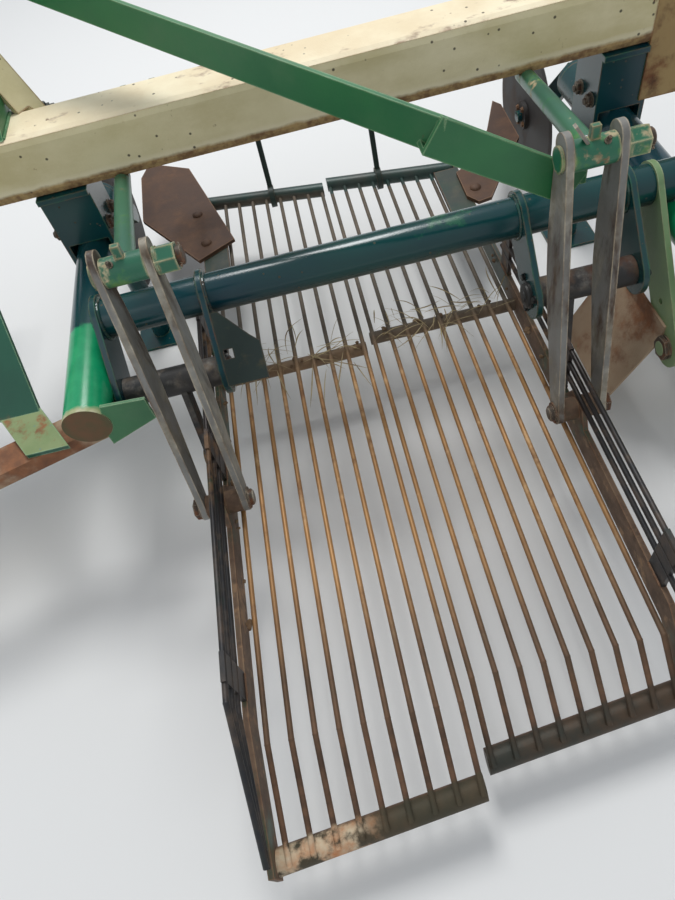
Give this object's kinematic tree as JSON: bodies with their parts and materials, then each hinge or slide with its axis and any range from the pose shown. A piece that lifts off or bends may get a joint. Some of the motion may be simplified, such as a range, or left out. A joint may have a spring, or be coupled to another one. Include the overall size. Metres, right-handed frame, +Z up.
{
  "type": "potato digger",
  "caption": "Single-row potato digger for a three point linkage, with a cream box beam, a green tube frame and a hanging rod sieve in two halves that swing against each other.",
  "frame": {"origin": "on the floor under the middle of the machine's bounding box", "axes": "+Y points to the front, towards the tractor; +X to the machine's right, +Z up"},
  "size_m": [1.938, 1.9332, 0.962],
  "materials": {
    "cream_paint": "cream paint, worn and specked with rust along its lower edge",
    "ochre_paint": "yellow-brown paint, rusty",
    "teal_paint": "dark glossy blue-green paint, chipped to bright green and rust",
    "green_paint": "mid green paint, light at the worn edges",
    "worn_green": "green paint, mostly worn to brown steel",
    "rusty_steel": "bare steel with reddish-brown rust",
    "rod_steel": "golden-tan rusty steel, darker towards the rear",
    "grey_steel": "weathered grey-brown steel with remains of pale paint",
    "grey_casting": "grey casting",
    "bright_steel": "bare machined steel",
    "tyre_rubber": "black rubber, dusty",
    "rim_paint": "cream paint, dirty"
  },
  "bodies": {
    "frame_body": {"main_beam": "cream_paint", "beam_cap_left": "cream_paint", "beam_bracket_right": "ochre_paint", "drop_brackets": "teal_paint", "side_tubes": "teal_paint", "cross_tube": "teal_paint", "lugs": "teal_paint", "rear_box_left": "rusty_steel", "brace_plate_left": "green_paint", "axle_left": "grey_steel", "wheel_arm_right": "green_paint", "clod_guard_left": "green_paint", "clod_guard_right": "rusty_steel", "deflector_left": "green_paint", "pivot_supports": "teal_paint", "mast_plates": "green_paint", "lower_links": "green_paint", "mast_brace": "cream_paint", "mast_stay": "green_paint", "gearbox": "grey_casting", "drive_tube": "teal_paint", "link_bracket": "green_paint", "stands": "green_paint", "coulter_arms": "green_paint"},
    "wheel_left": {"tyre_left": "tyre_rubber", "rim_left": "rim_paint"},
    "wheel_right": {"tyre_right": "tyre_rubber", "rim_right": "rim_paint"},
    "disc_left": {"coulter_disc_left": "rusty_steel"},
    "disc_right": {"coulter_disc_right": "rusty_steel"},
    "input": {"stub_shaft": "bright_steel"},
    "hang_left": {"hanger_left": "grey_steel"},
    "hang_right": {"hanger_right": "grey_steel"},
    "half_left": {"sieve_rods_left": "rod_steel", "sieve_side_left": "worn_green", "fence_left": "worn_green", "wing_left": "rusty_steel"},
    "half_right": {"sieve_rods_right": "rod_steel", "sieve_side_right": "worn_green", "fence_right": "worn_green", "wing_right": "rusty_steel"},
    "link_left": {"front_link_left": "worn_green"},
    "link_right": {"front_link_right": "worn_green"},
    "rock_left": {"rocker_left": "teal_paint"},
    "rock_right": {"rocker_right": "teal_paint"}
  },
  "joints": [
    {"name": "swing_left", "type": "hinge", "parent": "frame_body", "child": "hang_left", "pos_m": [-0.224, -0.18979, 0.69166], "axis": [1, 0, 0], "range_deg": [-0.23, 4.39]},
    {"name": "swing_right", "type": "hinge", "parent": "frame_body", "child": "hang_right", "pos_m": [0.496, -0.18979, 0.69166], "axis": [1, 0, 0], "range_deg": [-4.41, 0.25]},
    {"name": "sieve_left_level", "type": "hinge", "parent": "hang_left", "child": "half_left", "pos_m": [-0.224, -0.3334, 0.2169], "axis": [1, 0, 0], "range_deg": [-4.41, 0.25]},
    {"name": "sieve_right_level", "type": "hinge", "parent": "hang_right", "child": "half_right", "pos_m": [0.496, -0.29858, 0.20773], "axis": [1, 0, 0], "range_deg": [-0.25, 4.41]},
    {"name": "link_left_swing", "type": "hinge", "parent": "frame_body", "child": "link_left", "pos_m": [-0.018, 0.78773, 0.49126], "axis": [1, 0, 0], "range_deg": [-0.37, 6.7]},
    {"name": "link_right_swing", "type": "hinge", "parent": "frame_body", "child": "link_right", "pos_m": [0.29, 0.72613, 0.49126], "axis": [1, 0, 0], "range_deg": [-6.7, 0.37]},
    {"name": "rocker_left_swing", "type": "hinge", "parent": "frame_body", "child": "rock_left", "pos_m": [-0.254, -0.1177, 0.35974], "axis": [1, 0, 0], "range_deg": [-0.62, 11.48]},
    {"name": "rocker_right_swing", "type": "hinge", "parent": "frame_body", "child": "rock_right", "pos_m": [0.526, -0.1177, 0.35974], "axis": [1, 0, 0], "range_deg": [-11.48, 0.62]},
    {"name": "wheel_left_spin", "type": "hinge", "parent": "frame_body", "child": "wheel_left", "pos_m": [-0.904, -0.21779, 0.226], "axis": [1, 0, 0], "continuous": true},
    {"name": "wheel_right_spin", "type": "hinge", "parent": "frame_body", "child": "wheel_right", "pos_m": [0.904, -0.21779, 0.226], "axis": [1, 0, 0], "continuous": true},
    {"name": "disc_left_spin", "type": "hinge", "parent": "frame_body", "child": "disc_left", "pos_m": [-0.452, 0.72021, 0.215], "axis": [1, 0, 0], "continuous": true},
    {"name": "disc_right_spin", "type": "hinge", "parent": "frame_body", "child": "disc_right", "pos_m": [0.736, 0.72021, 0.215], "axis": [1, 0, 0], "continuous": true},
    {"name": "input_spin", "type": "hinge", "parent": "frame_body", "child": "input", "pos_m": [-0.514, 0.54621, 0.578], "axis": [0, 1, 0], "continuous": true}
  ],
  "couplings": [
    {"joint": "swing_right", "follows": "swing_left", "ratio": -1},
    {"joint": "sieve_left_level", "follows": "swing_left", "ratio": -1},
    {"joint": "sieve_right_level", "follows": "swing_left", "ratio": 1},
    {"joint": "link_left_swing", "follows": "swing_left", "ratio": 1.5215},
    {"joint": "link_right_swing", "follows": "swing_left", "ratio": -1.5215},
    {"joint": "rocker_left_swing", "follows": "swing_left", "ratio": 2.6105},
    {"joint": "rocker_right_swing", "follows": "swing_left", "ratio": -2.6105}
  ]
}
